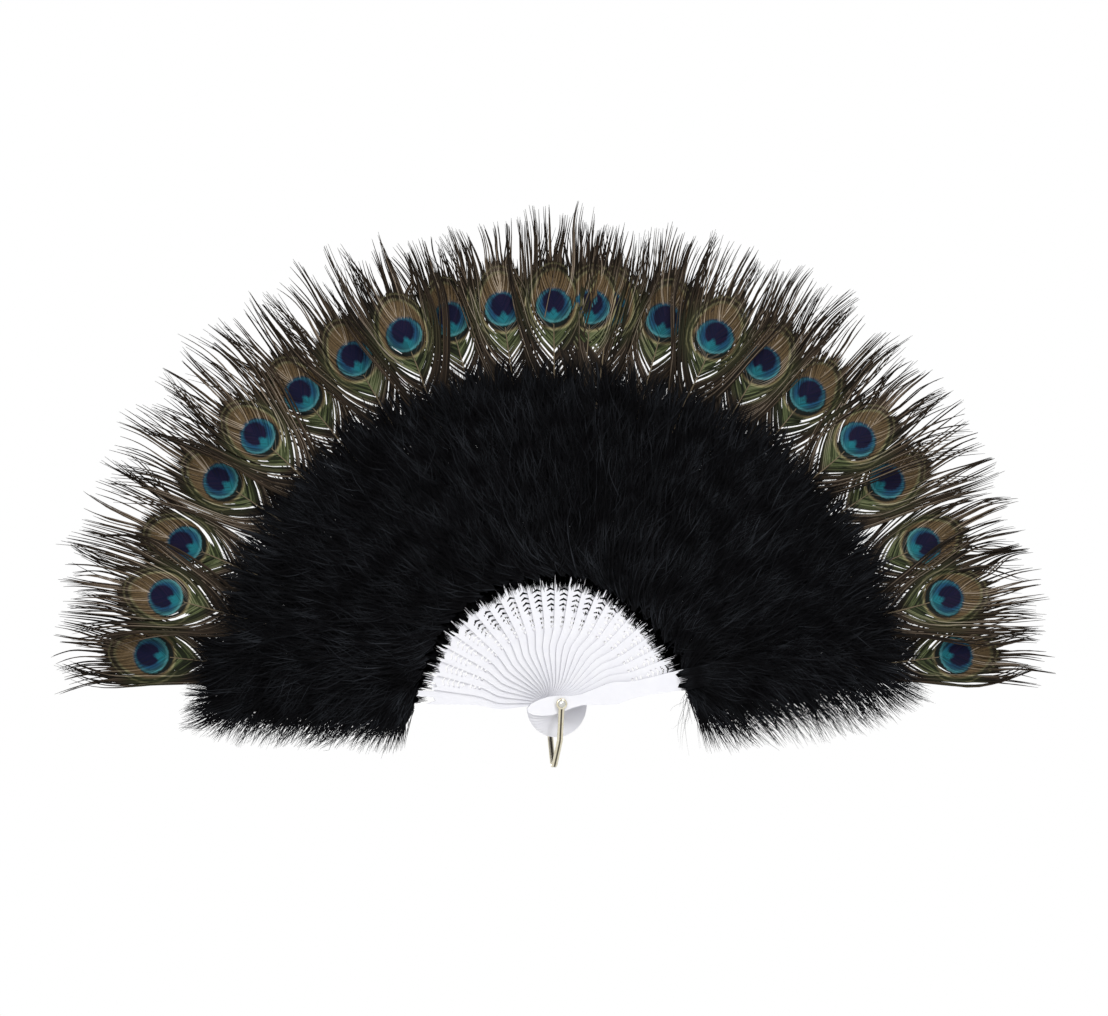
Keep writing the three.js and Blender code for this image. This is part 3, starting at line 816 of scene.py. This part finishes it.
def feather(layer, angle):
    """One feather: its barbs and its shaft, as one piece on its stick. On the fan's bare end side its
    barbs lie close."""
    rng = np.random.default_rng(500 + layer)
    _, depth, _ = outer_end(LAYER_STICKS[layer], STICK_END_SHARE)
    forward = FORWARD_MM if layer in FORWARD_LAYERS else 0.0
    twist = math.radians(TWIST_DEG if layer < TWISTED_LAYERS else 0.0)
    eye_radius = EYE_RADIUS_MM - EYE_DROP_MM * math.sin(angle)
    tip_u = curve(abs(math.degrees(angle) - 90), FEATHER_REACH) - eye_radius

    # Which barbs go on past the vane, which of them clump, and which lie close or hang limp.
    root, side = barb_rows(rng)
    count = len(root)
    goes_on = (root < LOOSE_BARBS_END_MM) | (rng.uniform(0, 1, count) < 0.34)
    clump = np.cumsum(goes_on & (rng.uniform(0, 1, count) < 1 / BARB_CLUMP)) + (side > 0) * count
    _, clump = np.unique(clump, return_inverse=True)
    gather = rng.choice([0.0, 0.4, 0.85], clump.max() + 1, p=[0.6, 0.2, 0.2])[clump] * goes_on
    close = np.where((side == BARE_SIDES.get(layer, 0)) & (root < LOOSE_BARBS_END_MM), 0.62, 1.0)
    own = np.where(root < LIMP_BARBS_END_MM, 1.0, 0.35)

    # The angles at which each barb leaves the shaft, runs on and flares, and its length.
    leave = curve(root, LEAVES) + own * rng.normal(0, 0.6, count)
    run = (1.0 + 0.05 * forward) * curve(root, RUNS) + drift(rng, root, side, 12.0, 3.0)
    run = close * (run + own * rng.normal(0, 0.7, count))
    side_flare = np.where(side > 0, rng.normal(6, 4), rng.normal(6, 4))
    flare = curve(root, FLARES) * side_flare + drift(rng, root, side, 11.0, 8.0) + rng.normal(0, 1.5, count)
    flare = np.where(close < 1, 0.3 * flare - 17, flare + TIP_LEAN_DEG * math.cos(angle) * side)
    end_u = tip_u + 2 + curve(root, ENDS) + rng.uniform(-8, 3) + drift(rng, root, side, 9.0, 4.5)
    end_u = end_u - np.abs(rng.normal(0, 4, count))
    length = (end_u - root) * curve(root, EXTRA_LENGTHS)

    # Each barb's line in the plane of the vane, drawn step by step from its heading.
    t = np.linspace(0, 1, BARB_STEPS + 1)[None, :]
    turn_by = (curve(root, TURNS) * close ** 0.35)[:, None]
    heading = leave[:, None] + (run - leave)[:, None] * ease(t / turn_by)
    heading = heading + (flare - run)[:, None] * ease((t - 0.5) / 0.45)
    sway = own * (drift(rng, root, side, 14.0, 11.0) + rng.normal(0, 1.2, count))
    phase = drift(rng, root, side, 20.0, 0.3) + rng.normal(0, 0.05, count)
    wander = sway[:, None] * np.sin(2 * math.pi * (t * 1.3 + phase[:, None]))
    heading = np.radians(heading + wander * t)
    step = (length / BARB_STEPS)[:, None]
    ahead = np.concatenate([np.zeros((count, 1)), np.cumsum(np.cos(heading[:, :-1]) * step, 1)], 1)
    aside = np.concatenate([np.zeros((count, 1)), np.cumsum(np.sin(heading[:, :-1]) * step, 1)], 1)
    u = root[:, None] + ahead
    v = side[:, None] * aside

    # Barbs of the vane end at its egg-shaped edge, and the others clump beyond it.
    from_eye = np.hypot((u - 4.6) / 16.4, v / 13.3)
    past_edge = from_eye > (1.08 + 0.5 * rng.uniform(0, 1, count) ** 1.3)[:, None]
    leaves_eye = np.where(past_edge.any(1), past_edge.argmax(1), BARB_STEPS) / BARB_STEPS
    keep = np.where(goes_on, 1.0, np.maximum(leaves_eye, 2 / BARB_STEPS))
    u, v = shortened(u, keep), shortened(v, keep)
    past_vane = ease((np.hypot((u - 4.6) / 17, v / 14.4) - 1.0) / 0.55)
    members = np.maximum(np.bincount(clump, goes_on), 1)
    for line in (u, v):
        middle = np.stack([np.bincount(clump, column * goes_on) / members for column in line.T], 1)
        line += gather[:, None] * ease((t - 0.4) / 0.5) * past_vane * (middle[clump] - line)
    curl = rng.normal(0, 2.5, count)[:, None] * t ** 2 + 0.012 * root[:, None] * (1 - t)
    widths = BARB_WIDTH_MM * curve(root, BREADTHS)[:, None] * (1 - 0.36 * past_vane * ease(t / 0.5))
    widths = widths * (1 - 0.82 * t ** 4) * rng.uniform(0.8, 1.2, (count, BARB_STEPS + 1))
    tone = rng.uniform(0.05, 0.95, count) + drift(rng, root, side, 6.0, 0.15) + rng.uniform(-0.1, 0.1)

    # The shaft is one more line, told from the barbs by its tone.
    shaft_u = np.linspace(SHAFT_FOOT_MM, SHAFT_TIP_MM, BARB_STEPS + 1)[None, :]
    u = np.concatenate([u, shaft_u])
    v = np.concatenate([v, np.zeros(shaft_u.shape)])
    curl = np.concatenate([curl, np.full(shaft_u.shape, 0.5)])
    widths = np.concatenate([widths, SHAFT_WIDTH_MM * (1 - 0.6 * t)])
    tone = np.append(np.clip(tone, 0, 1), 2.0)

    # Each line as a ribbon of two faces with a low ridge between them.
    rise = ease((u + 42) / 26)
    height = forward * rise + v * math.sin(twist) * rise + curl + 0.06 * np.abs(v)
    paths = placed(eye_radius + u, v, height, angle, depth)
    paths[..., 1] = np.maximum(paths[..., 1], -FRONT_LIMIT_MM * MM)
    flat = ribbon_corners(paths, widths * MM, np.array([0.0, -1.0, 0.0]))
    ridge = paths + np.array([0.0, -BARB_RIDGE_MM * MM, 0.0])
    corners = np.stack([flat[:, :, 0], ridge, flat[:, :, 1]], 2)

    # What the colours need: each corner's place in the eye and on its barb.
    along_v = np.gradient(v, axis=1)
    along_u = np.gradient(u, axis=1)
    norm = np.hypot(along_u, along_v)
    eye_place = np.full(corners.shape, rng.uniform(0, 1) ** 1.5)
    barb_place = np.zeros(corners.shape)
    for column, share in enumerate((-1, 0, 1)):
        eye_place[:, :, column, 0] = u - share * 0.5 * widths * along_v / norm
        eye_place[:, :, column, 1] = v + share * 0.5 * widths * along_u / norm
        barb_place[:, :, column, 1] = share
    barb_place[..., 0] = t[:, :, None]
    barb_place[..., 2] = tone[:, None, None]
    piece = mesh_piece(f"feather_{layer:02d}", corners, ribbon_faces(len(corners), BARB_STEPS + 1, 3),
                       vane_finish, LAYER_BODIES[layer], "peacock_barbs", LAYER_PLUMES[layer],
                       {"eye_place": eye_place, "barb_place": barb_place})
    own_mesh(piece)


vane_finish = peacock_barbs()
for feather_layer, plume_name in enumerate(LAYER_PLUMES):
    feather_angle, _, plume_reach = outer_end(plume_name, PLUME_END_SHARE)
    if plume_reach >= FEATHER_LEAST_REACH_MM * MM:
        feather(feather_layer, feather_angle)


# Floor, light and surroundings
# The fan is held above a plain pale floor, in the even light of large soft lamps.
FLOOR_WHITE = "#f4f4f4"
FLOOR_HEIGHT = -0.35
FLOOR_RADIUS = 1.2
FLOOR_SIDES = 96
LIGHT_ABOVE = 0.76
LIGHT_BELOW = 0.28
SKY_WHITE = (1, 1, 1, 1)

# Each lamp's place and size in metres, and its power in watts.
LAMPS = {
    "key_lamp": ((0.7, -1.5, 1.2), 0.5, 11.5),
    "fill_lamp": ((-0.5, -1.8, 0.7), 0.9, 9.0),
    "rear_lamp": ((-0.6, 1.4, 1.0), 1.2, 9.0)}

floor_rim = [(FLOOR_RADIUS * math.cos(a), FLOOR_RADIUS * math.sin(a), FLOOR_HEIGHT)
             for a in 2 * math.pi * np.arange(FLOOR_SIDES) / FLOOR_SIDES]
floor_mesh = bpy.data.meshes.new("floor")
floor_mesh.from_pydata(floor_rim, [], [tuple(range(FLOOR_SIDES))])
floor = bpy.data.objects.new("floor", floor_mesh)
bpy.context.scene.collection.objects.link(floor)
floor_finish, floor_tree = new_finish("painted_floor")
floor_shader = add_node(floor_tree, "BsdfPrincipled", {}, {
    "Base Color": linear(FLOOR_WHITE), "Roughness": 0.8})
add_node(floor_tree, "OutputMaterial", {}, {"Surface": floor_shader})
floor_mesh.materials.append(floor_finish)

# The sky lights the fan from above more than from below, and is plain white where it is seen.
world = bpy.data.worlds.new("studio")
bpy.context.scene.world = world
world.use_nodes = True
sky = world.node_tree
sky.nodes.clear()
rays = add_node(sky, "LightPath", {}, {}).node.outputs
seen = add_node(sky, "Math", {"operation": "MAXIMUM"}, {0: rays["Is Camera Ray"], 1: rays["Is Glossy Ray"]})
seen = add_node(sky, "Math", {"operation": "MAXIMUM"}, {0: seen, 1: rays["Is Transmission Ray"]})
sky_direction = add_node(sky, "TexCoord", {}, {}, "Generated")
sky_height = add_node(sky, "SeparateXYZ", {}, {0: sky_direction}, "Z")
level = add_node(sky, "MapRange", {}, {
    "Value": sky_height, "From Min": -0.6, "From Max": 0.8, "To Min": LIGHT_BELOW, "To Max": LIGHT_ABOVE})
lit = add_node(sky, "Background", {}, {"Color": SKY_WHITE, "Strength": level})
shown = add_node(sky, "Background", {}, {"Color": SKY_WHITE, "Strength": 1.0})
joined = add_node(sky, "MixShader", {}, {0: seen, 1: lit, 2: shown})
add_node(sky, "OutputWorld", {}, {"Surface": joined})

for lamp_name, (lamp_place, lamp_size, lamp_power) in LAMPS.items():
    lamp_data = bpy.data.lights.new(lamp_name, "AREA")
    lamp_data.size = lamp_size
    lamp_data.energy = lamp_power
    lamp = bpy.data.objects.new(lamp_name, lamp_data)
    lamp.location = lamp_place
    lamp.rotation_euler = (VIEW_MIDDLE - Vector(lamp_place)).to_track_quat("-Z", "Y").to_euler()
    bpy.context.scene.collection.objects.link(lamp)

bpy.context.scene.view_settings.view_transform = "Standard"
